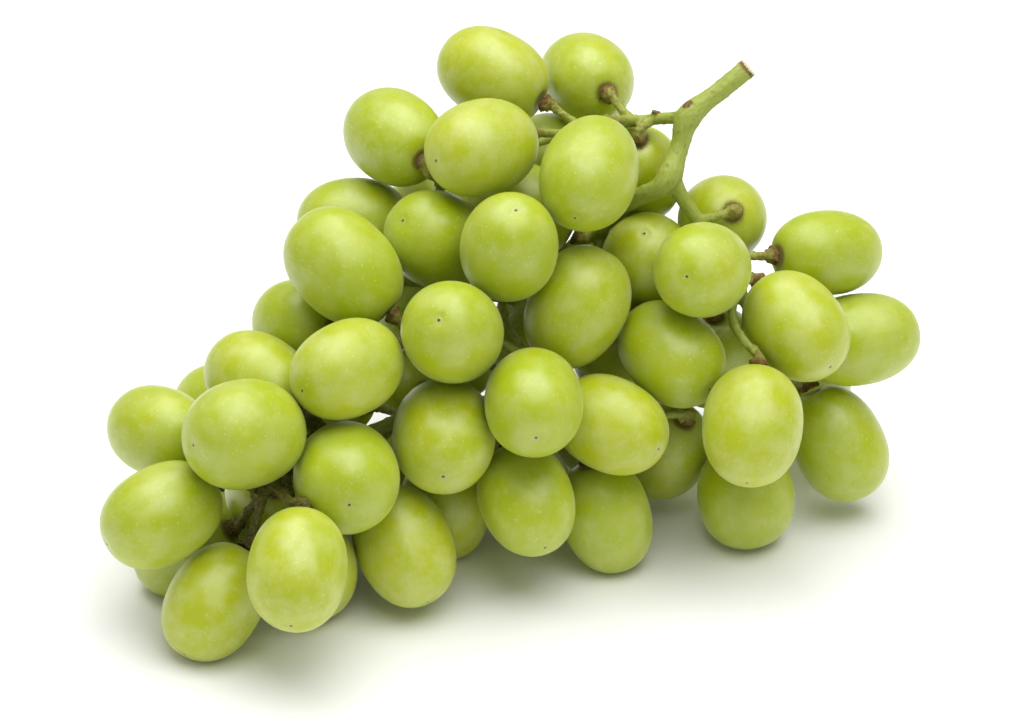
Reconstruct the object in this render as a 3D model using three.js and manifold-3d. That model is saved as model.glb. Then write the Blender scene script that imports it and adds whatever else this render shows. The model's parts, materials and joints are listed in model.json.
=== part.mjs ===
// A bunch of green table grapes lying on its side, in millimetres, +Z up.
// The stem, from its cut end to the last pedicel, grew as one piece. Each berry is a piece of its own.
// The bunch points its tip to -X and towards -Y; the cut end of the stem is up at +X.
import * as THREE from "three";
import { mergeVertices } from "three/addons/utils/BufferGeometryUtils.js";
import Module from "manifold-3d";

const wasm = await Module();
wasm.setup();

const GAP = 0.3; // clearance between neighbouring pieces
const JOIN_DISTANCE = 1e-4; // corners nearer than this are one corner
const LATHE_AXIS = new THREE.Vector3(0, 1, 0);

// Berries.
const BERRY_SIDES = 12;
const BERRY_RINGS = 6;
const BERRY_BLUNTNESS = 2.2; // power of the outline's curve: 2 is an ellipse, more is blunter
const REST_PRESS = 0.6; // how much of its height a berry loses where it lies on the floor
const REST_REACH = 1.5; // a berry hanging lower than this over the floor lies on it
const SETTLE_ROUNDS = 400;
const PULL_ROUNDS = 200; // rounds in which a berry is also drawn back to its place
const PULL_START = 0.1; // share of its way back that it goes in the first round, fading to nothing
const NEAREST_STEPS = 6;

// Stem.
const PEDICEL_SIDES = 5;
const PEDICEL_STEPS = 2;
const PEDICEL_RADIUS = 0.95;
const PEDICEL_JOINT_RADIUS = 1.25; // where it leaves its branch
const RECEPTACLE_RADIUS = 1.9; // the warty collar under the berry
const RECEPTACLE_LENGTH = 1.6;
const RECEPTACLE_NECK = 1.2; // radius of its thin end, times the pedicel's
const PEDICEL_LEAN = 0.35; // how far towards the branch's start a pedicel leaves, as a share of its length
const PEDICEL_FIRST_JOINT = 0.02; // share of a branch at its start that bears no pedicel
const PEDICEL_START_PULL = 0.25; // how far it follows its branch before it turns, as a share of its length
const PEDICEL_END_PULL = 0.5; // how early it turns onto its berry's axis, as a share of its length
const PEDICEL_APPROACH = 2.2; // length of its straight end
const PEDICEL_ROUTE_POINTS = 8;
const PEDICEL_ROUTE_ROUNDS = 120;
const PEDICEL_SMOOTHING = 0.4; // share of its kinks that a route loses in a round, fading to nothing

// The branches as centre lines, the main stem first. It starts at the cut end, and the rest start on it.
// radii are those of a branch's start and end, sides and step say how finely it is drawn.
const BRANCHES = {
  main: {
    sides: 10,
    step: 4,
    radii: [2.1, 1.2],
    line: [
      [50, 36, 96],
      [44, 33, 92],
      [37, 30, 87],
      [35, 27, 81],
      [32, 23, 75],
      [27, 25, 71],
      [19, 32, 61],
      [10, 29, 53],
      [4, 21, 48],
      [-10, 6, 40],
      [-23, -4, 34],
      [-40, -14, 32],
      [-53, -27, 29],
    ],
  },
  wing: {
    sides: 7,
    step: 6,
    radii: [1.3, 0.9],
    line: [
      [37, 30, 87],
      [30, 35, 84],
      [18, 39, 80],
      [5, 38, 77],
      [-8, 34, 74],
      [-16, 26, 73],
    ],
  },
  right: {
    sides: 7,
    step: 5,
    radii: [1.6, 1],
    line: [
      [33, 24, 76],
      [38, 23, 68],
      [47, 20, 57],
      [49, 18, 50],
      [53, 20, 41],
      [57, 18, 31],
    ],
  },
  middle: {
    sides: 6,
    step: 5,
    radii: [1.2, 0.9],
    line: [
      [4, 21, 48],
      [-3, 10, 46],
      [-12, 1, 47],
      [-20, -2, 49],
    ],
  },
  leftShoulder: {
    sides: 7,
    step: 6,
    radii: [1.4, 0.9],
    line: [
      [4, 21, 48],
      [-8, 19, 51],
      [-19, 20, 53],
      [-27, 17, 54],
      [-33, 10, 50],
    ],
  },
  back: {
    sides: 7,
    step: 6,
    radii: [1.4, 0.9],
    line: [
      [19, 32, 61],
      [19, 34, 50],
      [18, 34, 38],
      [8, 33, 27],
    ],
  },
  lower: {
    sides: 7,
    step: 6,
    radii: [1.3, 0.9],
    line: [
      [-10, 6, 40],
      [-10, 8, 30],
      [-4, 8, 24],
      [8, 8, 23],
      [20, 7, 25],
      [28, 9, 28],
    ],
  },
};

// The berries, by the part of the bunch they belong to.
// x, y, z is a berry's middle. Its blossom end points along bearing, turned from +X towards +Y, and rise.
const BERRIES = {
  // x, y, z, bearing, rise, length, width
  wing: [
    [-4, 48, 88, 150, 15, 25, 19],
    [16, 56, 83, 110, -10, 25, 19],
    [-24, 32, 81, 120, 0, 25, 19.5],
    [-7, 20, 85, -140, 5, 25, 20],
    [14, 13, 81, -105, -20, 26, 20],
    [24, 38, 71, 80, -65, 24, 17.5],
    [8, 52, 66, 90, -10, 24, 19],
    [-4, 29, 64, 160, 20, 24, 19],
  ],
  right: [
    [38, 8, 63, -110, 20, 24, 19.5],
    [43, 33, 60, 100, -35, 24, 18.5],
    [67, 29, 55, 25, -10, 25, 18],
    [59, 9, 49, -55, -20, 25.5, 20],
    [74, 21, 38, 10, 5, 26, 19.5],
    [70, 15, 17, -40, -55, 26, 19.5],
    [47, -10, 38, -98, -38, 26, 20.5],
    [49, 3, 12, -60, -75, 23, 20.5],
    [41, 23, 36, 90, -75, 24, 19.5],
    [34, 15, 15, 130, -60, 24, 19],
  ],
  front: [
    [26, 24, 63, -100, 60, 25, 20],
    [2, 3, 66, -75, 65, 25, 20],
    [17, 7, 54, 45, 50, 26.5, 20.5],
    [30, 7, 46, -50, -15, 25.5, 19.5],
    [21, -7, 37, -40, -5, 25.5, 19.5],
    [-12, -10, 58, -105, 40, 25, 20.5],
    [3, -16, 46, -88, -5, 25, 20],
    [-18, -14, 36, -90, -10, 26, 21],
    [3, -17, 22, -70, -25, 25, 19.5],
    [16, -4, 13, -30, -70, 25, 19],
    [-24, -21, 14, -60, -40, 26, 20],
    [-14, -5, 10, 50, -80, 24, 18.5],
    [2, 8, 10, 90, -65, 24, 18.5],
  ],
  left: [
    [-33, 28, 63, 180, -5, 24, 19],
    [-31, 2, 64, 150, 35, 27, 21],
    [-16, 17, 60, -140, 40, 25, 20],
    [-44, 11, 48, 135, -15, 22, 18],
    [-14, 40, 60, 100, 20, 24, 19],
  ],
  tip: [
    [-30, -15, 52, -135, 0, 25, 19.5],
    [-53, -4, 41, 140, 10, 25, 19],
    [-73, -12, 35, 135, -10, 24, 18.5],
    [-54, -29, 42, -140, 10, 26, 22],
    [-68, -33, 29, -150, -15, 26, 20],
    [-35, -30, 37, -85, 5, 26, 21.5],
    [-61, -36, 11, -125, -35, 25.5, 19.5],
    [-40, -44, 28, -95, -30, 26, 20],
    [-41, -25, 10, 90, -65, 24, 19],
    [-60, 6, 32, 130, -10, 24, 18.5],
    [-66, -17, 10, 165, -35, 24, 18],
    [-49, -11, 17, 100, -35, 24, 19],
  ],
  back: [
    [24, 46, 52, 70, 0, 24, 19],
    [1, 46, 47, 110, 0, 24, 19],
    [-21, 31, 42, 130, -5, 24, 19],
    [-40, 14, 29, 140, -10, 24, 19],
    [-25, 15, 12, 150, -40, 24, 19],
    [-4, 27, 11, 120, -40, 24, 19],
    [18, 30, 12, 60, -45, 24, 19],
    [40, 37, 30, 50, -20, 24, 19],
    [12, 47, 28, 90, -20, 24, 19],
    [-13, 39, 24, 120, -20, 24, 19],
    [-43, 4, 10, 160, -40, 24, 19],
  ],
};

function berrySkin() {
  return new THREE.MeshStandardMaterial({ color: 0xb0c24a, roughness: 0.42, metalness: 0 });
}

function stemBark() {
  return new THREE.MeshStandardMaterial({ color: 0x9aa05a, roughness: 0.7, metalness: 0 });
}

// A berry's description as vectors and half sizes.
function readBerry([x, y, z, bearing, rise, length, width], name) {
  const turn = THREE.MathUtils.degToRad(bearing);
  const lift = THREE.MathUtils.degToRad(rise);
  const axis = new THREE.Vector3(
    Math.cos(turn) * Math.cos(lift),
    Math.sin(turn) * Math.cos(lift),
    Math.sin(lift),
  );
  const halfLength = length / 2;
  const radius = width / 2;
  // Half the height that the berry takes up as it lies.
  const halfHeight = Math.hypot(halfLength * axis.z, radius * Math.sqrt(1 - axis.z * axis.z));
  const place = new THREE.Vector3(x, y, z);
  return { name, place, middle: place.clone(), axis, halfLength, radius, halfHeight };
}

// For neighbours a berry counts as a capsule: this is the straight core inside it.
function coreOf(berry) {
  const reach = berry.halfLength - berry.radius;
  return new THREE.Line3(
    berry.middle.clone().addScaledVector(berry.axis, -reach),
    berry.middle.clone().addScaledVector(berry.axis, reach),
  );
}

// The two nearest points of two short lines, found by stepping from one to the other.
function nearestPoints(first, second) {
  const onFirst = first.getCenter(new THREE.Vector3());
  const onSecond = new THREE.Vector3();
  for (let step = 0; step < NEAREST_STEPS; step += 1) {
    second.closestPointToPoint(onFirst, true, onSecond);
    first.closestPointToPoint(onSecond, true, onFirst);
  }
  return [onFirst, onSecond];
}

// A branch's curve, with points and radii at even steps along it.
function readBranch({ line, radii, sides, step }) {
  const points = line.map((point) => new THREE.Vector3(...point));
  const curve = new THREE.CatmullRomCurve3(points, false, "centripetal");
  const length = curve.getLength();
  const steps = Math.ceil(length / step);
  const samples = curve.getSpacedPoints(steps).map((point, i) => {
    const share = i / steps;
    return { point, share, radius: THREE.MathUtils.lerp(radii[0], radii[1], share) };
  });
  return { curve, length, sides, samples };
}

// Moves two berries apart by equal ways until they have their clearance.
function partBerries(berry, other) {
  if (berry.middle.distanceTo(other.middle) > berry.halfLength + other.halfLength + GAP) return;
  const [here, there] = nearestPoints(coreOf(berry), coreOf(other));
  const missing = berry.radius + other.radius + GAP - here.distanceTo(there);
  if (missing <= 0) return;
  const push = here.sub(there).setLength(missing / 2);
  berry.middle.add(push);
  other.middle.sub(push);
}

function moveOffBark(berry, bark) {
  const here = coreOf(berry).closestPointToPoint(bark.point, true, new THREE.Vector3());
  const missing = berry.radius + bark.radius + GAP - here.distanceTo(bark.point);
  if (missing > 0) berry.middle.add(here.sub(bark.point).setLength(missing));
}

function layOnFloor(berry) {
  if (berry.middle.z - berry.halfHeight < REST_REACH) berry.middle.z = berry.halfHeight - REST_PRESS;
}

// Moves the berries until all of them are clear of one another and of the branches.
function settle(berries, branches) {
  const barkSamples = branches.flatMap((branch) => branch.samples);
  for (let round = 0; round < SETTLE_ROUNDS; round += 1) {
    const pull = PULL_START * Math.max(0, 1 - round / PULL_ROUNDS);
    berries.forEach((berry, i) => {
      berry.middle.lerp(berry.place, pull);
      for (const other of berries.slice(i + 1)) partBerries(berry, other);
      for (const bark of barkSamples) moveOffBark(berry, bark);
      layOnFloor(berry);
    });
  }
}

// A closed geometry as a solid that can be joined and cut. Faces without area are left out.
function solidOf(geometry) {
  const plain = geometry.clone();
  plain.deleteAttribute("normal");
  plain.deleteAttribute("uv");
  const merged = mergeVertices(plain, JOIN_DISTANCE);
  const corners = Array.from(merged.index.array);
  const triVerts = [];
  for (let i = 0; i < corners.length; i += 3) {
    const [a, b, c] = corners.slice(i, i + 3);
    if (a !== b && b !== c && a !== c) triVerts.push(a, b, c);
  }
  return new wasm.Manifold(
    new wasm.Mesh({
      numProp: 3,
      vertProperties: merged.attributes.position.array,
      triVerts: new Uint32Array(triVerts),
    }),
  );
}

function geometryOf(solid) {
  const mesh = solid.getMesh();
  const geometry = new THREE.BufferGeometry();
  geometry.setAttribute("position", new THREE.BufferAttribute(new Float32Array(mesh.vertProperties), 3));
  geometry.setIndex(new THREE.BufferAttribute(new Uint32Array(mesh.triVerts), 1));
  geometry.computeVertexNormals();
  return geometry;
}

// A berry about its own middle, with its blossom end at +Y.
function berryGeometry({ halfLength, radius }) {
  const power = 2 / BERRY_BLUNTNESS;
  const outline = [];
  for (let ring = 0; ring <= BERRY_RINGS + 1; ring += 1) {
    const angle = (Math.PI * ring) / (BERRY_RINGS + 1);
    const out = ring === 0 || ring === BERRY_RINGS + 1 ? 0 : Math.sin(angle) ** power;
    const along = -Math.sign(Math.cos(angle)) * Math.abs(Math.cos(angle)) ** power;
    outline.push(new THREE.Vector2(radius * out, halfLength * along));
  }
  return new THREE.LatheGeometry(outline, BERRY_SIDES);
}

function makeBerry(berry) {
  const mesh = new THREE.Mesh(berryGeometry(berry), berrySkin());
  mesh.name = berry.name;
  mesh.position.copy(berry.middle);
  mesh.quaternion.setFromUnitVectors(LATHE_AXIS, berry.axis);
  const rests = berry.middle.z < berry.halfHeight;
  if (rests) mesh.geometry = geometryOf(aboveFloor(mesh, berry.halfLength));
  return mesh;
}

// The part of a resting berry above the floor, still about the berry's own middle.
function aboveFloor(mesh, halfLength) {
  const size = 4 * halfLength;
  const ground = new THREE.BoxGeometry(size, size, size).translate(0, 0, -mesh.position.z - size / 2);
  ground.applyQuaternion(mesh.quaternion.clone().invert());
  return solidOf(mesh.geometry).subtract(solidOf(ground));
}

// A round stick of changing radius along a curve, closed at both ends.
// profile holds [share of the length, radius] from the start to the end.
function stickGeometry(curve, profile, sides) {
  const outline = [new THREE.Vector2(0, profile[0][0])];
  for (const [share, radius] of profile) outline.push(new THREE.Vector2(radius, share));
  outline.push(new THREE.Vector2(0, profile.at(-1)[0]));
  const stick = new THREE.LatheGeometry(outline, sides);
  const place = stick.attributes.position;
  // Each ring of the straight stick has its own frame on the curve, carried along without twisting.
  const start = curve.getTangentAt(0);
  const guide = new THREE.Vector3(...(Math.abs(start.z) < Math.abs(start.x) ? [0, 0, 1] : [1, 0, 0]));
  const side = new THREE.Vector3().crossVectors(start, guide);
  const frames = new Map();
  for (const { y: share } of outline) {
    const along = curve.getTangentAt(share);
    side.addScaledVector(along, -side.dot(along)).normalize();
    const across = new THREE.Vector3().crossVectors(side, along);
    // The lathe holds its shares as 32-bit numbers.
    frames.set(Math.fround(share), { centre: curve.getPointAt(share), right: side.clone(), across });
  }
  const point = new THREE.Vector3();
  for (let i = 0; i < place.count; i += 1) {
    const { centre, right, across } = frames.get(place.getY(i));
    point.copy(centre).addScaledVector(right, place.getX(i)).addScaledVector(across, place.getZ(i));
    place.setXYZ(i, point.x, point.y, point.z);
  }
  return stick;
}

function branchGeometry(branch) {
  const profile = branch.samples.map(({ share, radius }) => [share, radius]);
  return stickGeometry(branch.curve, profile, branch.sides);
}

// The point of all branches nearest to a berry's stem end, moved back towards the branch's start.
function jointFor(stemEnd, branches) {
  let best = { distance: Infinity };
  for (const branch of branches) {
    for (const sample of branch.samples) {
      const distance = sample.point.distanceTo(stemEnd);
      if (distance < best.distance) best = { distance, branch, share: sample.share };
    }
  }
  const back = (PEDICEL_LEAN * best.distance) / best.branch.length;
  const share = Math.max(PEDICEL_FIRST_JOINT, best.share - back);
  return { point: best.branch.curve.getPointAt(share), heading: best.branch.curve.getTangentAt(share) };
}

// Moves a point of a pedicel's route out of a berry, with room for the thickest part of the pedicel.
function moveOffBerry(point, berry) {
  const core = coreOf(berry).closestPointToPoint(point, true, new THREE.Vector3());
  const missing = berry.radius + PEDICEL_JOINT_RADIUS + 2 * GAP - core.distanceTo(point);
  if (missing > 0) point.add(point.clone().sub(core).setLength(missing));
}

// A pedicel's way from its branch to its berry, bent clear of all berries.
// It ends straight, on its berry's axis.
function pedicelCurve(berry, berries, branches) {
  const stemEnd = berry.middle.clone().addScaledVector(berry.axis, -(berry.halfLength + GAP));
  const approach = stemEnd.clone().addScaledVector(berry.axis, -PEDICEL_APPROACH);
  const { point: joint, heading } = jointFor(approach, branches);
  const span = joint.distanceTo(approach);
  const route = new THREE.CubicBezierCurve3(
    joint,
    joint.clone().addScaledVector(heading, PEDICEL_START_PULL * span),
    approach.clone().addScaledVector(berry.axis, -PEDICEL_END_PULL * span),
    approach,
  ).getPoints(PEDICEL_ROUTE_POINTS - 1);
  for (let round = 0; round < PEDICEL_ROUTE_ROUNDS; round += 1) {
    const smoothing = PEDICEL_SMOOTHING * (1 - round / PEDICEL_ROUTE_ROUNDS);
    for (let i = 1; i < route.length - 1; i += 1) {
      const between = new THREE.Vector3().lerpVectors(route[i - 1], route[i + 1], 0.5);
      route[i].lerp(between, smoothing);
      for (const other of berries) moveOffBerry(route[i], other);
    }
  }
  return new THREE.CatmullRomCurve3([...route, stemEnd], false, "centripetal");
}

function pedicelGeometry(berry, berries, branches) {
  const curve = pedicelCurve(berry, berries, branches);
  const collar = 1 - RECEPTACLE_LENGTH / curve.getLength(); // where the receptacle starts
  const profile = [[0, PEDICEL_JOINT_RADIUS]];
  for (let step = 1; step <= PEDICEL_STEPS; step += 1) {
    profile.push([(collar * step) / (PEDICEL_STEPS + 1), PEDICEL_RADIUS]);
  }
  profile.push([collar, PEDICEL_RADIUS * RECEPTACLE_NECK], [1, RECEPTACLE_RADIUS]);
  return stickGeometry(curve, profile, PEDICEL_SIDES);
}

function makeStem(berries, branches) {
  let stem = solidOf(branchGeometry(branches[0]));
  for (const branch of branches.slice(1)) stem = stem.add(solidOf(branchGeometry(branch)));
  for (const berry of berries) stem = stem.add(solidOf(pedicelGeometry(berry, berries, branches)));
  // The joins leave crumbs and pinholes, so only the largest body counts.
  const [whole] = stem.decompose().sort((a, b) => b.volume() - a.volume());
  const mesh = new THREE.Mesh(geometryOf(whole), stemBark());
  mesh.name = "stem";
  return mesh;
}

const branches = Object.values(BRANCHES).map(readBranch);
const berries = Object.entries(BERRIES).flatMap(([group, rows]) =>
  rows.map((row, i) => readBerry(row, `berry_${group}_${i + 1}`)),
);
settle(berries, branches);

const bunch = new THREE.Group();
bunch.add(makeStem(berries, branches), ...berries.map(makeBerry));

// The origin lies on the floor under the middle of the bunch.
const extent = new THREE.Box3().setFromObject(bunch, true);
const middle = extent.getCenter(new THREE.Vector3());
bunch.position.set(-middle.x, -middle.y, 0);
const part = new THREE.Group();
part.add(bunch);

export default part;
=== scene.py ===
import json
import math
import random

import bpy
import numpy as np
from mathutils import Matrix, Vector, kdtree, noise
from mathutils.geometry import intersect_point_line


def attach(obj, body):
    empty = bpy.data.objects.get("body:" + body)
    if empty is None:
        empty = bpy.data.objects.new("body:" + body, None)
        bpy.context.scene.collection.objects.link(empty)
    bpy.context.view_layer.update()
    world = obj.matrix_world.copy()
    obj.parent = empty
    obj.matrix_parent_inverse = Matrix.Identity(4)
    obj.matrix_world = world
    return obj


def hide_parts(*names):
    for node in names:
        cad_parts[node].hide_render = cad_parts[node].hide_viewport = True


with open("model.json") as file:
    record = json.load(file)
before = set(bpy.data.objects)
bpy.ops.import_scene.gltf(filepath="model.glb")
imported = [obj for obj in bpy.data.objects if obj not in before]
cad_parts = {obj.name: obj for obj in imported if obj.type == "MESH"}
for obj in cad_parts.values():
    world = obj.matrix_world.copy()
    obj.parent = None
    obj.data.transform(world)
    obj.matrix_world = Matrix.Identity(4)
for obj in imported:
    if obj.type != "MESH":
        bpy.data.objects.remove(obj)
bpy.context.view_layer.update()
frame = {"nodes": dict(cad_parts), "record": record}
mm = 0.001
print("frame loaded,", len(frame["nodes"]), "nodes")


# shader maths: a Wire holds one socket, and arithmetic on it adds Math nodes

class Wire:
    def __init__(self, tree, socket=None):
        self.tree = tree
        self.socket = socket

    # any node, from its type, its settings, and the values or links of its sockets
    def node(self, kind, settings=None, inputs=None, output=0):
        new = self.tree.nodes.new(kind)
        for name, value in (settings or {}).items():
            setattr(new, name, value)
        for name, value in (inputs or {}).items():
            if isinstance(value, Wire):
                self.tree.links.new(value.socket, new.inputs[name])
            else:
                new.inputs[name].default_value = value
        return Wire(self.tree, new.outputs[output] if new.outputs else None)

    def math(self, operation, *values):
        return self.node("ShaderNodeMath", {"operation": operation}, dict(enumerate(values)))

    def __add__(self, other):
        return self.math("ADD", self, other)

    def __sub__(self, other):
        return self.math("SUBTRACT", self, other)

    def __rsub__(self, other):
        return self.math("SUBTRACT", other, self)

    def __mul__(self, other):
        return self.math("MULTIPLY", self, other)

    __radd__ = __add__
    __rmul__ = __mul__

    # 0 below low, 1 above high, with a soft step between
    def step(self, low, high):
        return self.node(
            "ShaderNodeMapRange", {"interpolation_type": "SMOOTHSTEP"},
            {"Value": self, "From Min": low, "From Max": high})

    # 1 at zero, fading out by reach
    def near(self, reach):
        return 1 - self.step(0.0, reach)

    def mix(self, factor, first, second):
        return self.node(
            "ShaderNodeMix", {"data_type": "RGBA"}, {0: factor, 6: first, 7: second}, 2)

    def noise(self, scale, detail=2.0, roughness=0.5, w=0.0):
        return self.node(
            "ShaderNodeTexNoise", {"noise_dimensions": "4D"},
            {"Vector": self, "W": w, "Scale": scale, "Detail": detail, "Roughness": roughness})

    def stretch(self, scale):
        return self.node("ShaderNodeVectorMath", {"operation": "MULTIPLY"}, {0: self, 1: scale})

    def attribute(self, name, output):
        return self.node("ShaderNodeAttribute", {"attribute_name": name}, {}, output)


# a screen colour, 0 to 255, as the linear colour that a shader takes (the sRGB curve)
def paint(red, green, blue):
    def linear(value):
        value = value / 255
        return value / 12.92 if value <= 0.04045 else ((value + 0.055) / 1.055) ** 2.4
    return (linear(red), linear(green), linear(blue), 1.0)


def newMaterial(name):
    material = bpy.data.materials.new(name)
    material.use_nodes = True
    material.node_tree.nodes.clear()
    return material, Wire(material.node_tree)


# grape skin

skinLook = {
    "flesh": paint(179, 191, 6),
    "greener": paint(168, 184, 4),
    "riper": paint(185, 193, 10),
    "bloom": paint(214, 219, 168),
    "vein": paint(199, 208, 80),
    "speck": paint(212, 219, 134),
    "scar": paint(74, 52, 26),
    "ring": paint(206, 206, 132),
    "cork": paint(120, 96, 48),
    "glow": (1.0, 0.9, 0.1),        # how far red, green and blue run inside a berry
    "glowDepth": 5 * mm,
    "roughness": 0.36,
    "bloomRoughness": 0.16,         # added where there is bloom
    "bloomCover": 0.38,             # how much the bloom hides the flesh
    "veinCover": 0.28,
    "speckCover": 0.35,
    "ringCover": 0.35,
    "corkCover": 0.7,
    "patches": 0.11,                # patches to a millimetre, and so for the other patterns
    "veins": 0.75,
    "film": 0.22,
    "dust": 2.6,
    "specks": 0.75,
    "grain": 2.4,
    "scarSize": (0.2, 0.42),        # millimetres off the axis, where it starts to fade and where it ends
    "ringSize": 1.4,
    "corkSize": (1.9, 3.0),
    "bump": 0.08 * mm,
}


def grapeSkin(look):
    material, start = newMaterial("grapeSkin")
    # millimetres from the berry's middle, with z towards its blossom end
    place = start.attribute("ownPlace", "Vector")
    ripeness = start.attribute("ripeness", "Fac")
    lengthwise = start.attribute("lengthwise", "Fac")
    cross = start.node("ShaderNodeSeparateXYZ", {}, {0: place})
    crossY = start.node("ShaderNodeSeparateXYZ", {}, {0: place}, 1)
    offAxis = start.math("SQRT", cross * cross + crossY * crossY)
    seed = ripeness * 60

    patches = place.noise(look["patches"], 3, 0.55, seed)
    ripe = (ripeness * 0.7 + patches * 1.1 - 0.55).step(0.0, 1.0)
    colour = start.mix(ripe, look["greener"], look["riper"])
    colour = start.mix(patches.step(0.4, 0.75) * 0.5, colour, look["flesh"])
    veins = place.stretch((1.0, 1.0, 0.16)).noise(look["veins"], 4, 0.6, seed)
    colour = start.mix(veins.step(0.55, 0.72) * look["veinCover"], colour, look["vein"])

    # waxy bloom, thin and rubbed away in places
    film = place.noise(look["film"], 4, 0.6, seed + 7)
    bloom = film.step(0.36, 0.68) * (0.5 + ripeness * 0.4)
    dust = place.noise(look["dust"], 3, 0.7, seed + 3).step(0.42, 0.7)
    bloom = bloom * (0.75 + dust * 0.25)
    colour = start.mix(bloom * look["bloomCover"], colour, look["bloom"])

    # pale specks all over
    dots = start.node(
        "ShaderNodeTexVoronoi", {"feature": "F1"},
        {"Vector": place, "Scale": look["specks"], "Randomness": 1.0}, "Distance")
    dotSize = place.noise(0.9, 1, 0.5, seed + 11) * 0.2
    specks = 1 - (dots - dotSize).step(0.0, 0.1)
    colour = start.mix(specks * look["speckCover"], colour, look["speck"])

    # brown dot at the blossom end with a pale ring, and a corky stain round the pedicel
    wobble = (place.noise(1.6, 3, 0.6, seed) - 0.5) * 0.8
    blossomEnd = lengthwise.step(0.4, 0.6)
    stemEnd = 1 - lengthwise.step(-0.6, -0.4)
    ring = (offAxis + wobble).near(look["ringSize"]) * blossomEnd
    scar = (1 - (offAxis + wobble * 0.4).step(*look["scarSize"])) * blossomEnd
    cork = (1 - (offAxis + wobble * 1.5).step(*look["corkSize"])) * stemEnd
    colour = start.mix(ring * look["ringCover"], colour, look["ring"])
    colour = start.mix(cork * look["corkCover"], colour, look["cork"])
    colour = start.mix(scar, colour, look["scar"])

    roughness = look["roughness"] + bloom * look["bloomRoughness"] + scar * 0.3 + (dust - 0.5) * 0.04
    height = specks * 0.25 + veins * 0.25 + place.noise(look["grain"], 3, 0.6, seed) * 0.4
    bump = start.node(
        "ShaderNodeBump", {}, {"Strength": 0.3, "Distance": look["bump"], "Height": height})
    skin = start.node("ShaderNodeBsdfPrincipled", {"subsurface_method": "RANDOM_WALK"}, {
        "Base Color": colour,
        "Roughness": roughness,
        "Normal": bump,
        "IOR": 1.45,
        "Specular IOR Level": 0.6,
        "Sheen Weight": 0.12,
        "Sheen Roughness": 0.4,
        "Sheen Tint": paint(250, 255, 220),
        "Subsurface Weight": 0.9,
        "Subsurface Radius": look["glow"],
        "Subsurface Scale": look["glowDepth"],
        "Coat Weight": bloom * 0.65 + 0.35,
        "Coat Roughness": 0.42,
    })
    start.node("ShaderNodeOutputMaterial", {}, {"Surface": skin})
    return material


# stem bark

barkLook = {
    "green": paint(146, 160, 54),
    "pale": paint(178, 186, 96),
    "olive": paint(116, 116, 34),
    "brown": paint(122, 82, 34),
    "dark": paint(66, 42, 16),
    "tan": paint(176, 138, 78),
    "pith": paint(222, 212, 160),
    "roughness": 0.52,
    "fibres": 2.2,                  # fibres to a millimetre, and so for the other patterns
    "streaks": 1.3,
    "blotches": 0.35,
    "mottle": 1.7,
    "warts": 0.8,
    "crust": 1.9,
    "grain": 3.0,
    "browning": 0.75,               # most that each colour hides the green
    "rustCover": 0.92,
    "dryCover": 0.85,
    "bump": 0.25 * mm,
}


def stemBark(look):
    material, start = newMaterial("stemBark")
    place = start.node("ShaderNodeTexCoord", {}, {}, "Object").stretch((1 / mm, 1 / mm, 1 / mm))
    grain = start.attribute("grain", "Vector")
    woody = start.attribute("woody", "Fac")
    collar = start.attribute("collar", "Fac")
    cut = start.attribute("cut", "Fac")
    dry = start.attribute("dry", "Fac")

    fibre = grain.stretch((1.0, 1.0, 0.12)).noise(look["fibres"], 4, 0.6)
    blotch = place.noise(look["blotches"], 4, 0.6)
    mottle = place.noise(look["mottle"], 4, 0.65)
    colour = start.mix(fibre.step(0.3, 0.8) * 0.7, look["green"], look["pale"])
    streaks = grain.stretch((1.0, 1.0, 0.07)).noise(look["streaks"], 3, 0.6).step(0.56, 0.74)
    colour = start.mix(streaks * blotch.step(0.45, 0.65) * 0.5, colour, look["tan"])
    lenticels = start.node(
        "ShaderNodeTexVoronoi", {"feature": "F1"},
        {"Vector": grain.stretch((1.0, 1.0, 0.5)), "Scale": look["warts"], "Randomness": 1.0},
        "Distance")
    warts = 1 - lenticels.step(0.1, 0.3)
    colour = start.mix(warts * (0.2 + woody * 0.5), colour, look["brown"])

    # it browns towards the berries, rusts at the collars and the cut, and dries out towards the tip
    browning = (woody + (mottle - 0.5) * 1.6).step(0.45, 1.0)
    woodyPaint = start.mix(mottle.step(0.4, 0.6), look["olive"], look["brown"])
    colour = start.mix(browning * look["browning"], colour, woodyPaint)
    rust = (collar + (mottle - 0.5) * 0.9).step(0.3, 0.75)
    rustPaint = start.mix(mottle.step(0.42, 0.6), look["dark"], look["brown"])
    colour = start.mix(rust * look["rustCover"], colour, rustPaint)
    crust = place.noise(look["crust"], 3, 0.65).step(0.55, 0.68)
    colour = start.mix((rust * 0.7 + woody * 0.3) * crust * 0.75, colour, look["tan"])
    dryPaint = start.mix(mottle.step(0.4, 0.62), look["dark"], look["olive"])
    colour = start.mix(dry * look["dryCover"], colour, dryPaint)
    face = start.mix(place.noise(1.4, 3, 0.6).step(0.55, 0.75) * 0.5, look["pith"], look["tan"])
    colour = start.mix(cut, colour, face)

    roughness = look["roughness"] + woody * 0.14 + rust * 0.1 + (mottle - 0.5) * 0.12
    height = fibre * 0.35 + warts * 0.4 + place.noise(look["grain"], 4, 0.7) * (0.3 + woody + collar)
    bump = start.node(
        "ShaderNodeBump", {}, {"Strength": 0.5, "Distance": look["bump"], "Height": height})
    bark = start.node("ShaderNodeBsdfPrincipled", {}, {
        "Base Color": colour,
        "Roughness": roughness,
        "Normal": bump,
        "Subsurface Weight": 0.12,
        "Subsurface Radius": (1.0, 0.9, 0.3),
        "Subsurface Scale": 1 * mm,
    })
    start.node("ShaderNodeOutputMaterial", {}, {"Surface": bark})
    return material


# reading the berries from the frame

def cornersOf(node):
    vertices = frame["nodes"][node].data.vertices
    places = {tuple(round(number, 7) for number in vertex.co) for vertex in vertices}
    return [Vector(place) for place in sorted(places)]


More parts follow.
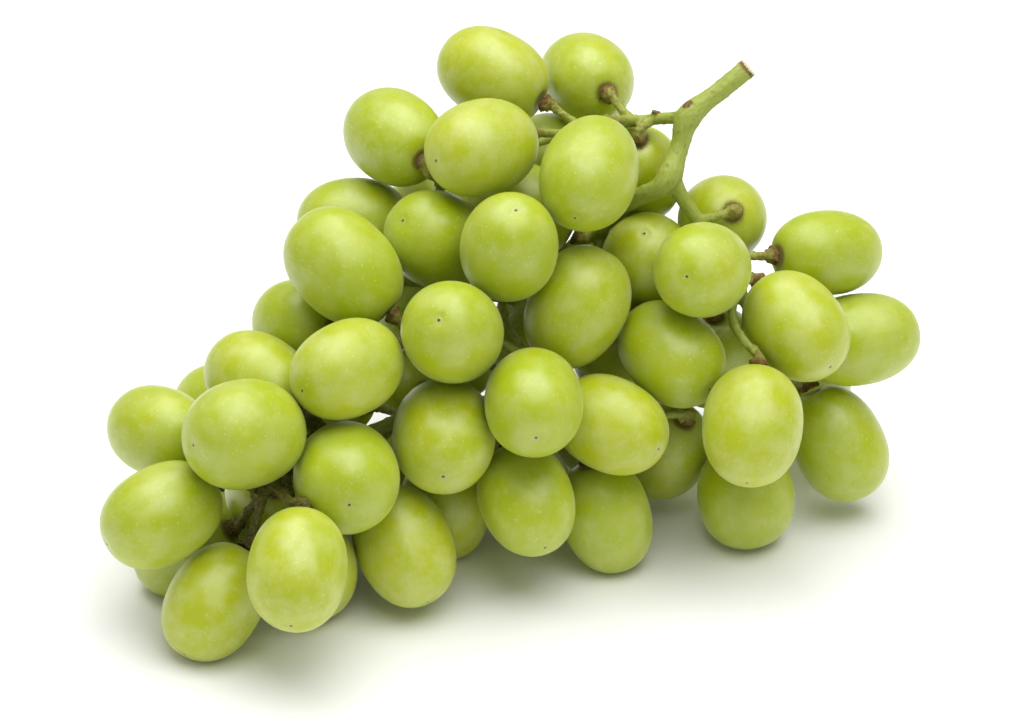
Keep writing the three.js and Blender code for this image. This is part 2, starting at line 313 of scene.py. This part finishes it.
def treeOf(points):
    tree = kdtree.KDTree(len(points))
    for index, point in enumerate(points):
        tree.insert(point, index)
    tree.balance()
    return tree


reading = {
    "ringCorners": 12,        # corners in each ring of a CAD berry
    "ringSpace": 0.1 * mm,    # rings are further apart than this
    "probes": (0.3 * mm, 2.5 * mm),
    "fullness": 1.034,        # radius of the round berry, times that of its CAD corners
}


# stem end, axis and half sizes of a berry, from the corners of its CAD node
def readBerry(node, stemTree):
    corners = cornersOf(node)
    middle = sum(corners, Vector()) / len(corners)
    spread = np.cov(np.array([c - middle for c in corners]).T)
    longWay = Vector(np.linalg.eigh(spread)[1][:, -1])

    # its stem end is the pole that has the stem beyond it
    def room(way):
        pole = max(corners, key=lambda c: c.dot(way))
        return sum(stemTree.find(pole + way * probe)[2] for probe in reading["probes"]), pole
    pole = min(room(longWay), room(-longWay), key=lambda found: found[0])[1]
    ring = sorted(corners, key=lambda c: (c - pole).length)[1:reading["ringCorners"] + 1]
    axis = (sum(ring, Vector()) / len(ring) - pole).normalized()

    # the third and fourth rings are as far from the middle as each other
    along = sorted((c - pole).dot(axis) for c in corners if c.z > reading["ringSpace"])
    rings = [along[0]]
    for distance in along[1:]:
        if distance - rings[-1] > reading["ringSpace"]:
            rings.append(distance)
    halfLength = (rings[3] + rings[4]) / 2
    widest = max((c - pole - axis * (c - pole).dot(axis)).length for c in corners)
    radius = widest * reading["fullness"]
    centre = pole + axis * halfLength
    core = axis * (halfLength - radius)
    return {
        "node": node, "name": node.replace("berry", "grape"), "pole": pole, "axis": axis,
        "middle": centre, "halfLength": halfLength, "radius": radius,
        "core": (centre - core, centre + core)}


stemCorners = cornersOf("stem")


# centre lines and end radii of the stem's branches, in millimetres, from the foot of each
# they are as in the frame but for where the bunch lies; step is the space between possible joints
branches = {
    "main": {"radii": (2.1, 1.2), "step": 4, "line": [
        (50, 36, 96), (44, 33, 92), (37, 30, 87), (35, 27, 81), (32, 23, 75), (27, 25, 71), (19, 32, 61),
        (10, 29, 53), (4, 21, 48), (-10, 6, 40), (-23, -4, 34), (-40, -14, 32), (-53, -27, 29)]},
    "wing": {"radii": (1.3, 0.9), "step": 6, "line": [
        (37, 30, 87), (30, 35, 84), (18, 39, 80), (5, 38, 77), (-8, 34, 74), (-16, 26, 73)]},
    "right": {"radii": (1.6, 1.0), "step": 5, "line": [
        (33, 24, 76), (38, 23, 68), (47, 20, 57), (49, 18, 50), (53, 20, 41), (57, 18, 31)]},
    "middle": {"radii": (1.2, 0.9), "step": 5, "line": [
        (4, 21, 48), (-3, 10, 46), (-12, 1, 47), (-20, -2, 49)]},
    "leftShoulder": {"radii": (1.4, 0.9), "step": 6, "line": [
        (4, 21, 48), (-8, 19, 51), (-19, 20, 53), (-27, 17, 54), (-33, 10, 50)]},
    "back": {"radii": (1.4, 0.9), "step": 6, "line": [
        (19, 32, 61), (19, 34, 50), (18, 34, 38), (8, 33, 27)]},
    "lower": {"radii": (1.3, 0.9), "step": 6, "line": [
        (-10, 6, 40), (-10, 8, 30), (-4, 8, 24), (8, 8, 23), (20, 7, 25), (28, 9, 28)]},
}


# where the frame's stem was cut: the middle of the corners that lie furthest along its first stretch
def placeOfCut():
    line = branches["main"]["line"]
    way = (Vector(line[0]) - Vector(line[1])).normalized()
    furthest = max(c.dot(way) for c in stemCorners)
    face = [c for c in stemCorners if c.dot(way) > furthest - 0.5 * mm]
    return sum(face, Vector()) / len(face)


bunchPlace = placeOfCut() - Vector(branches["main"]["line"][0]) * mm
bunchPlace.z = 0

stemTree = treeOf(stemCorners)
berryNodes = [row["node"] for row in frame["record"]["subparts"] if row["node"] != "stem"]
berries = [readBerry(node, stemTree) for node in berryNodes]
print("read", len(berries), "berries")


# small grapes that close gaps in the bunch, which the frame has no nodes for
# they are mostly hidden from the front, and the second, fourth and fifth show from behind
# each has its middle, length and width in millimetres
innerGrapes = [
    ((22, 21, 33), 21, 17),
    ((-24, 24, 26), 17, 14.5),
    ((2, 26, 36), 19, 16),
    ((-59, -1, 7.6), 15, 13.4),
    ((65, 40, 16), 22, 18.5),
]


# an inner grape points away from the nearest branch
def innerBerry(number, middle, length, width):
    middle = Vector(middle) * mm + bunchPlace
    lines = [
        Vector(point) * mm + bunchPlace
        for branch in branches.values()
        for point in branch["line"]]
    axis = (middle - min(lines, key=lambda point: (point - middle).length)).normalized()
    halfLength, radius = length * mm / 2, width * mm / 2
    core = axis * (halfLength - radius)
    return {
        "node": None, "name": f"grape_inner_{number}", "pole": middle - axis * halfLength,
        "axis": axis, "middle": middle, "halfLength": halfLength, "radius": radius,
        "core": (middle - core, middle + core)}


berries += [innerBerry(number, *grape) for number, grape in enumerate(innerGrapes, 1)]


# grapes: smooth oval berries with a dimple at each end

grapeShape = {
    "sides": 52,
    "rings": 44,
    "crowding": 0.75,         # how much closer the rings lie near the ends
    "bluntness": 2.2,
    "egg": 0.045,             # most that one end is fuller than the other
    "lumps": 0.016,
    "lumpSize": 0.6,          # of the berry's radius
    "stemDimple": (0.7 * mm, 2.6 * mm),       # depth and spread
    "blossomDimple": (0.35 * mm, 1.5 * mm),
    "blossomNub": (0.22 * mm, 0.4 * mm),
    "seed": 11,
}


def hollow(distance, shape):
    depth, spread = shape
    return depth * math.exp(-(distance / spread) ** 2)


# one ring of a berry about its own middle: height along the axis, and distance off it
def grapeRing(berry, share, egg):
    angle = math.pi * (share - grapeShape["crowding"] * math.sin(2 * math.pi * share) / (2 * math.pi))
    power = 2 / grapeShape["bluntness"]
    out = math.sin(angle) ** power if 0 < share < 1 else 0.0
    along = -math.copysign(abs(math.cos(angle)) ** power, math.cos(angle))
    off = berry["radius"] * out * (1 + egg * along * out)
    height = berry["halfLength"] * along
    if along < 0:
        height += hollow(off, grapeShape["stemDimple"])
    else:
        height += hollow(off, grapeShape["blossomNub"]) - hollow(off, grapeShape["blossomDimple"])
    return height, off, along


# closed skin from pole to pole, as corners and faces
def grapeSurface(rows, sides):
    points = [Vector((0, 0, rows[0][0]))]
    for height, off, along in rows[1:-1]:
        for side in range(sides):
            turn = 2 * math.pi * side / sides
            points.append(Vector((off * math.cos(turn), off * math.sin(turn), height)))
    points.append(Vector((0, 0, rows[-1][0])))
    faces = []
    last = len(points) - 1
    for side in range(sides):
        after = (side + 1) % sides
        faces.append((0, 1 + after, 1 + side))
        faces.append((last, last - sides + side, last - sides + after))
        for row in range(len(rows) - 3):
            low = 1 + row * sides
            faces.append((low + side, low + after, low + sides + after, low + sides + side))
    return points, faces


def newMesh(name, points, faces, material):
    mesh = bpy.data.meshes.new(name)
    mesh.from_pydata([tuple(p) for p in points], [], faces)
    mesh.materials.append(material)
    mesh.shade_smooth()
    piece = bpy.data.objects.new(name, mesh)
    bpy.context.scene.collection.objects.link(piece)
    return piece


def storeNumbers(mesh, name, values):
    mesh.attributes.new(name, "FLOAT", "POINT").data.foreach_set("value", np.array(values, np.float32))


def storeVectors(mesh, name, values):
    flat = np.array([tuple(value) for value in values], np.float32).ravel()
    mesh.attributes.new(name, "FLOAT_VECTOR", "POINT").data.foreach_set("vector", flat)


def buildGrape(berry, skin, dice):
    egg = dice.uniform(-1, 1) * grapeShape["egg"]
    spin = dice.uniform(0, 2 * math.pi)
    ripeness = dice.random()
    drift = Vector((dice.uniform(0, 90), dice.uniform(0, 90), dice.uniform(0, 90)))
    ringCount = grapeShape["rings"]
    rows = [grapeRing(berry, i / ringCount, egg) for i in range(ringCount + 1)]
    points, faces = grapeSurface(rows, grapeShape["sides"])
    size = 1 / (berry["radius"] * grapeShape["lumpSize"] * 2)      # lumps to a metre
    turned = Vector((0, 0, 1)).rotation_difference(berry["axis"]).to_matrix().to_4x4()
    place = Matrix.Translation(berry["middle"]) @ turned @ Matrix.Rotation(spin, 4, "Z")
    own = [point * (1 + grapeShape["lumps"] * noise.noise(point * size + drift)) for point in points]
    placed = [place @ point for point in own]
    # it lies flat where it meets the floor
    for point in placed:
        point.z = max(0.0, point.z)
    grape = newMesh(berry["name"], placed, faces, skin)
    alongs = [rows[0][2]]
    for row in rows[1:-1]:
        alongs += [row[2]] * grapeShape["sides"]
    storeNumbers(grape.data, "lengthwise", alongs + [rows[-1][2]])
    storeNumbers(grape.data, "ripeness", [ripeness] * len(points))
    storeVectors(grape.data, "ownPlace", [point / mm for point in own])
    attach(grape, "root")
    if berry["node"]:
        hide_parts(berry["node"])
    return grape


dice = random.Random(grapeShape["seed"])
skin = grapeSkin(skinLook)
grapes = [buildGrape(berry, skin, dice) for berry in berries]
print("built", len(grapes), "grapes")


# stem: branches and pedicels as tubes, joined into one skin
stemShape = {
    "gap": 0.3 * mm,           # space between a pedicel's end and its berry
    "fineStep": 0.5 * mm,      # space between the rings of a tube
    "sides": 14,
    "forkSwell": 0.4,          # how much a branch thickens where another leaves it
    "forkReach": 3.5 * mm,
    "pedicel": 0.95 * mm,      # radius of a pedicel halfway, and below at its foot and its berry
    "pedicelFoot": 1.25 * mm,
    "footReach": 2.0 * mm,
    "receptacle": 2.25 * mm,
    "receptacleLength": 2.2 * mm,
    "flarePower": 0.8,         # under 1 bulges the receptacle, over 1 hollows it
    "lean": 0.35,              # these route a pedicel as in the frame, so they have the same values
    "firstJoint": 0.02,
    "startPull": 0.25,
    "endPull": 0.5,
    "approach": 2.2 * mm,
    "routePoints": 8,
    "routeRounds": 120,
    "smoothing": 0.4,
    "voxel": 0.38 * mm,
    "blend": 3,                # rounds of smoothing after the joins
    "warts": 0.75 * mm,
    "wartSize": 1.0 * mm,
    "grooves": 0.06 * mm,
    "stub": 0.8 * mm,          # radius of a dried stub, and how far it stands out of its branch
    "stubLength": 0.8 * mm,
    "cutTilt": Vector((0, -0.22, 0.14)),      # how far the cut leans out of square
    "cutDepth": 0.15 * mm,
    "cutReach": 3 * mm,
    "rimReach": 2.0 * mm,      # how far the brown rim of the cut reaches
    "woodyBranch": 0.15,       # how woody a branch is, and a pedicel far from its berry
    "woodyPedicel": 0.35,
    "woodyReach": 4.5 * mm,    # how far from its berry a pedicel turns woody
    "collarReach": 2.6 * mm,
    "stubSpread": 1.3,         # how far the rust of a stub reaches, in radii and lengths of it
    "stubRust": 1.4,
    "plainRoughness": 0.15,    # share of the warts that green bark has
    "dryRoughness": 0.7,       # and that dry bark has
    "wartFloor": 0.1,          # hollows of the pattern up to this height stay flat
    "grooveScale": Vector((1.6, 1.6, 0.12)),
    "dryFrom": -14 * mm,       # the stem dries out from here to there, towards the tip
    "dryTo": -44 * mm,
}

# dried stubs where berries have dropped: branch, share of its length, and the way they point
stubs = [
    ("wing", 0.02, (0.2, -0.2, 1)),
    ("wing", 0.15, (0.1, -0.1, 1)),
    ("main", 0.57, (-0.5, -0.6, 0.7)),
]


# a smooth curve through points, read by its share of the length
class Route:
    def __init__(self, points):
        self.points = [points[0]]
        ends = [points[0] * 2 - points[1], *points, points[-1] * 2 - points[-2]]
        for a, b, c, d in zip(ends, ends[1:], ends[2:], ends[3:]):
            count = max(2, math.ceil((c - b).length / stemShape["fineStep"]))
            self.points += [self.between(a, b, c, d, i / count) for i in range(1, count + 1)]
        self.lengths = [0.0]
        for before, after in zip(self.points, self.points[1:]):
            self.lengths.append(self.lengths[-1] + (after - before).length)
        self.length = self.lengths[-1]

    # a point between b and c on the centripetal curve
    def between(self, a, b, c, d, share):
        times = [0.0]
        for before, after in ((a, b), (b, c), (c, d)):
            times.append(times[-1] + max((after - before).length, 1e-9) ** 0.5)
        time = times[1] + (times[2] - times[1]) * share

        def blend(first, last, start, end):
            return first.lerp(last, (time - start) / (end - start))
        ab = blend(a, b, times[0], times[1])
        bc = blend(b, c, times[1], times[2])
        cd = blend(c, d, times[2], times[3])
        ac = blend(ab, bc, times[0], times[2])
        bd = blend(bc, cd, times[1], times[3])
        return blend(ac, bd, times[1], times[2])

    def at(self, share):
        distance = share * self.length
        index = int(np.searchsorted(self.lengths, distance))
        index = min(max(index, 1), len(self.points) - 1)
        stretch = self.lengths[index] - self.lengths[index - 1]
        part = (distance - self.lengths[index - 1]) / stretch
        return self.points[index - 1].lerp(self.points[index], part)

    def heading(self, share):
        nudge = 0.001
        return (self.at(min(1, share + nudge)) - self.at(max(0, share - nudge))).normalized()


def readBranch(name):
    branch = branches[name]
    route = Route([Vector(p) * mm + bunchPlace for p in branch["line"]])
    steps = math.ceil(route.length / (branch["step"] * mm))
    return {
        "name": name, "route": route, "radii": [r * mm for r in branch["radii"]],
        "samples": [(i / steps, route.at(i / steps)) for i in range(steps + 1)]}


# nearest point of a berry's core to a point
def onCore(berry, point):
    nearest, share = intersect_point_line(point, *berry["core"])
    if share <= 0:
        return berry["core"][0]
    if share >= 1:
        return berry["core"][1]
    return nearest


def jointFor(stemEnd, made):
    choices = [
        ((point - stemEnd).length, branch, share)
        for branch in made
        for share, point in branch["samples"]]
    distance, branch, share = min(choices, key=lambda found: found[0])
    back = stemShape["lean"] * distance / branch["route"].length
    share = max(stemShape["firstJoint"], share - back)
    return branch["route"].at(share), branch["route"].heading(share)


# way of a pedicel from its branch to its berry, clear of all berries
def pedicelRoute(berry, made):
    stemEnd = berry["pole"] - berry["axis"] * stemShape["gap"]
    approach = stemEnd - berry["axis"] * stemShape["approach"]
    joint, heading = jointFor(approach, made)
    span = (joint - approach).length
    bends = [
        joint, joint + heading * stemShape["startPull"] * span,
        approach - berry["axis"] * stemShape["endPull"] * span, approach]
    count = stemShape["routePoints"]
    route = []
    for i in range(count):
        layer = list(bends)
        while len(layer) > 1:
            layer = [a.lerp(b, i / (count - 1)) for a, b in zip(layer, layer[1:])]
        route.append(layer[0])
    reach = span + 2 * berry["halfLength"]
    near = [
        other for other in berries
        if (other["middle"] - joint).length < reach + other["halfLength"]]
    for turn in range(stemShape["routeRounds"]):
        smoothing = stemShape["smoothing"] * (1 - turn / stemShape["routeRounds"])
        for i in range(1, count - 1):
            route[i] = route[i].lerp((route[i - 1] + route[i + 1]) / 2, smoothing)
            for other in near:
                core = onCore(other, route[i])
                away = route[i] - core
                clear = other["radius"] + stemShape["pedicelFoot"] + 2 * stemShape["gap"]
                missing = clear - away.length
                if missing > 0:
                    route[i] = route[i] + away.normalized() * missing
    return Route([*route, stemEnd])


# radius of a branch: tapering, thicker where others leave it
def branchRadius(branch, forks):
    def radius(share):
        point = branch["route"].at(share)
        plain = branch["radii"][0] + (branch["radii"][1] - branch["radii"][0]) * share
        nearest = min((point - fork).length for fork in forks)
        return plain * (1 + stemShape["forkSwell"] * math.exp(-(nearest / stemShape["forkReach"]) ** 2))
    return radius


# radius of a pedicel: a thicker foot, and a cone-shaped receptacle with a round rim under the berry
def pedicelRadius(route):
    def radius(share):
        fromFoot = share * route.length
        toBerry = (1 - share) * route.length
        swell = stemShape["pedicelFoot"] - stemShape["pedicel"]
        foot = swell * math.exp(-(fromFoot / stemShape["footReach"]) ** 2)
        flare = max(0, 1 - toBerry / stemShape["receptacleLength"])
        cone = (stemShape["receptacle"] - stemShape["pedicel"]) * flare ** stemShape["flarePower"]
        return stemShape["pedicel"] + foot + cone
    return radius


# closed tube round a route, with rings carried along it without twisting
def tube(route, radius, sides):
    count = max(4, math.ceil(route.length / stemShape["fineStep"]))
    points = [route.at(0)]
    rings = []
    side = route.heading(0).orthogonal()
    for i in range(count + 1):
        share = i / count
        ahead = route.heading(share)
        side = (side - ahead * side.dot(ahead)).normalized()
        across = ahead.cross(side)
        centre = route.at(share)
        rings.append({
            "centre": centre, "ahead": ahead, "side": side, "across": across,
            "along": share * route.length})
        for corner in range(sides):
            turn = 2 * math.pi * corner / sides
            points.append(centre + (side * math.cos(turn) + across * math.sin(turn)) * radius(share))
    points.append(route.at(1))
    faces = []
    last = len(points) - 1
    for corner in range(sides):
        after = (corner + 1) % sides
        faces.append((0, 1 + after, 1 + corner))
        faces.append((last, last - sides + corner, last - sides + after))
        for row in range(count):
            low = 1 + row * sides
            faces.append((low + corner, low + after, low + sides + after, low + sides + corner))
    return points, faces, rings


def buildStem(bark):
    made = [readBranch(name) for name in branches]
    forks = [branch["route"].at(0) for branch in made[1:]]
    points, faces, rings = [], [], []

    def add(route, radius, kind):
        newPoints, newFaces, newRings = tube(route, radius, stemShape["sides"])
        faces.extend(tuple(i + len(points) for i in face) for face in newFaces)
        points.extend(newPoints)
        for ring in newRings:
            rings.append({**ring, "kind": kind, "toEnd": route.length - ring["along"]})

    for branch in made:
        add(branch["route"], branchRadius(branch, forks), branch["name"])
    for berry in berries:
        route = pedicelRoute(berry, made)
        add(route, pedicelRadius(route), "pedicel")
    for name, share, way in stubs:
        branch = made[list(branches).index(name)]
        foot = branch["route"].at(share)
        reach = branch["radii"][0] + stemShape["stubLength"]
        route = Route([foot, foot + Vector(way).normalized() * reach])
        add(route, lambda along: stemShape["stub"], "stub")

    rough = newMesh("stemRough", points, faces, bark)
    remesh = rough.modifiers.new("join", "REMESH")
    remesh.mode = "VOXEL"
    remesh.voxel_size = stemShape["voxel"]
    smooth = rough.modifiers.new("blend", "SMOOTH")
    smooth.iterations = stemShape["blend"]
    smooth.factor = 0.5
    joined = rough.evaluated_get(bpy.context.evaluated_depsgraph_get())
    mesh = bpy.data.meshes.new_from_object(joined)
    bpy.data.objects.remove(rough)
    mesh.name = "stem_bark"
    stem = bpy.data.objects.new("stem_bark", mesh)
    bpy.context.scene.collection.objects.link(stem)
    finishStem(mesh, rings)
    mesh.shade_smooth()
    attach(stem, "root")
    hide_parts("stem")
    return stem


# how woody, rusty and dry the bark is at a corner, by the ring nearest to it
def barkNumbers(corner, ring, cutPlace, cutWay):
    shape = stemShape
    toEnd = ring["toEnd"]
    pedicel = ring["kind"] == "pedicel"
    stub = ring["kind"] == "stub"
    fromCut = (corner - cutPlace).dot(cutWay)
    nearCut = (corner - cutPlace).length < shape["cutReach"]
    tip = (corner.x - bunchPlace.x - shape["dryFrom"]) / (shape["dryTo"] - shape["dryFrom"])
    woody = shape["woodyBranch"]
    collar = 0.0
    if pedicel:
        rise = 1 - shape["woodyPedicel"]
        woody = shape["woodyPedicel"] + rise / (1 + (toEnd / shape["woodyReach"]) ** 2)
        collar = max(0.0, 1 - toEnd / shape["collarReach"])
    away = corner - ring["centre"]
    offAxis = (away - ring["ahead"] * away.dot(ring["ahead"])).length
    if stub and offAxis < shape["stubSpread"] * shape["stub"]:
        collar = max(0.0, 1 - toEnd / (shape["stubRust"] * shape["stubLength"]))
    if nearCut:
        collar = max(0.0, 1 + fromCut / shape["rimReach"])
    cut = 1.0 if nearCut and fromCut > -shape["cutDepth"] else 0.0
    return {"woody": woody, "collar": collar, "cut": cut, "dry": min(1.0, max(0.0, tip))}


# warts and grooves on the joined stem, its flat cut, and the numbers that its bark is painted by
def finishStem(mesh, rings):
    tree = treeOf([ring["centre"] for ring in rings])
    cutWay = (stemShape["cutTilt"] - rings[0]["ahead"]).normalized()
    cutBack = abs(stemShape["cutTilt"].y) * branches["main"]["radii"][0] * mm
    cutPlace = rings[0]["centre"] + rings[0]["ahead"] * cutBack
    numbers = []
    grain = []
    moved = []
    corners = [(vertex.co.copy(), vertex.normal.copy()) for vertex in mesh.vertices]
    for corner, normal in corners:
        ring = rings[tree.find(corner)[1]]
        away = corner - ring["centre"]
        along = ring["along"] + away.dot(ring["ahead"])
        place = Vector((away.dot(ring["side"]), away.dot(ring["across"]), along)) / mm
        here = barkNumbers(corner, ring, cutPlace, cutWay)
        dryness = here["dry"] * stemShape["dryRoughness"]
        rough = stemShape["plainRoughness"] + max(here["woody"], here["collar"], dryness)
        wart = max(0.0, noise.noise(corner / stemShape["wartSize"]) - stemShape["wartFloor"])
        groove = noise.noise(place * stemShape["grooveScale"])
        lift = stemShape["warts"] * wart * rough + stemShape["grooves"] * groove
        # the cut is flat, and warts stop at its edge
        beyond = max(0.0, (corner - cutPlace).dot(cutWay))
        moved.extend(corner - cutWay * beyond if here["cut"] else corner + normal * lift)
        numbers.append(here)
        grain.append(place)
    mesh.vertices.foreach_set("co", np.array(moved, np.float32))
    mesh.update()
    for name in ("woody", "collar", "cut", "dry"):
        storeNumbers(mesh, name, [here[name] for here in numbers])
    storeVectors(mesh, "grain", grain)


bark = stemBark(barkLook)
stem = buildStem(bark)
print("built the stem,", len(stem.data.polygons), "faces")


# floor, light and camera

studio = {
    "floorSize": 6.0,
    "floor": paint(250, 250, 250),
    "floorShade": paint(246, 246, 244),
    "skyStrength": 0.36,
    "softbox": (1.5, 1.0),     # width and depth, place over the bunch, and watts
    "softboxPlace": Vector((0.03, 0.02, 0.95)),
    "softboxPower": 16.2,
    "aim": Vector((0, 0, 45)) * mm,
    "elevation": 30,
    "distance": 0.9,
    "lens": 151.9,
}


def softbox(name, place, target, size, power):
    light = bpy.data.lights.new(name, "AREA")
    light.shape = "RECTANGLE"
    light.size, light.size_y = size
    light.energy = power
    lamp = bpy.data.objects.new(name, light)
    bpy.context.scene.collection.objects.link(lamp)
    lamp.location = place
    lamp.rotation_euler = (target - place).to_track_quat("-Z", "Y").to_euler()


def buildStudio():
    half = studio["floorSize"] / 2
    material, start = newMaterial("paleFloor")
    mottle = start.node("ShaderNodeTexCoord", {}, {}, "Object").noise(3.0, 2)
    floorPaint = start.node("ShaderNodeBsdfPrincipled", {}, {
        "Base Color": start.mix(mottle * 0.2, studio["floor"], studio["floorShade"]),
        "Roughness": 0.8})
    start.node("ShaderNodeOutputMaterial", {}, {"Surface": floorPaint})
    corners = [(-half, -half, 0), (half, -half, 0), (half, half, 0), (-half, half, 0)]
    newMesh("floor", corners, [(0, 1, 2, 3)], material)

    world = bpy.data.worlds.new("studioSky")
    world.use_nodes = True
    sky = world.node_tree.nodes["Background"]
    sky.inputs["Color"].default_value = (1, 1, 1, 1)
    sky.inputs["Strength"].default_value = studio["skyStrength"]
    bpy.context.scene.world = world

    target = bunchPlace + studio["aim"]
    place = target + studio["softboxPlace"]
    softbox("overheadSoftbox", place, target, studio["softbox"], studio["softboxPower"])
    bpy.context.scene.view_settings.view_transform = "Standard"


def buildCamera():
    target = bunchPlace + studio["aim"]
    tilt = math.radians(studio["elevation"])
    away = Vector((0, -math.cos(tilt), math.sin(tilt)))
    camera = bpy.data.cameras.new("camera")
    camera.lens = studio["lens"]
    holder = bpy.data.objects.new("camera", camera)
    bpy.context.scene.collection.objects.link(holder)
    holder.location = target + away * studio["distance"]
    holder.rotation_euler = (-away).to_track_quat("-Z", "Y").to_euler()
    bpy.context.scene.camera = holder


buildStudio()
buildCamera()
print("floor, light and camera are in place")
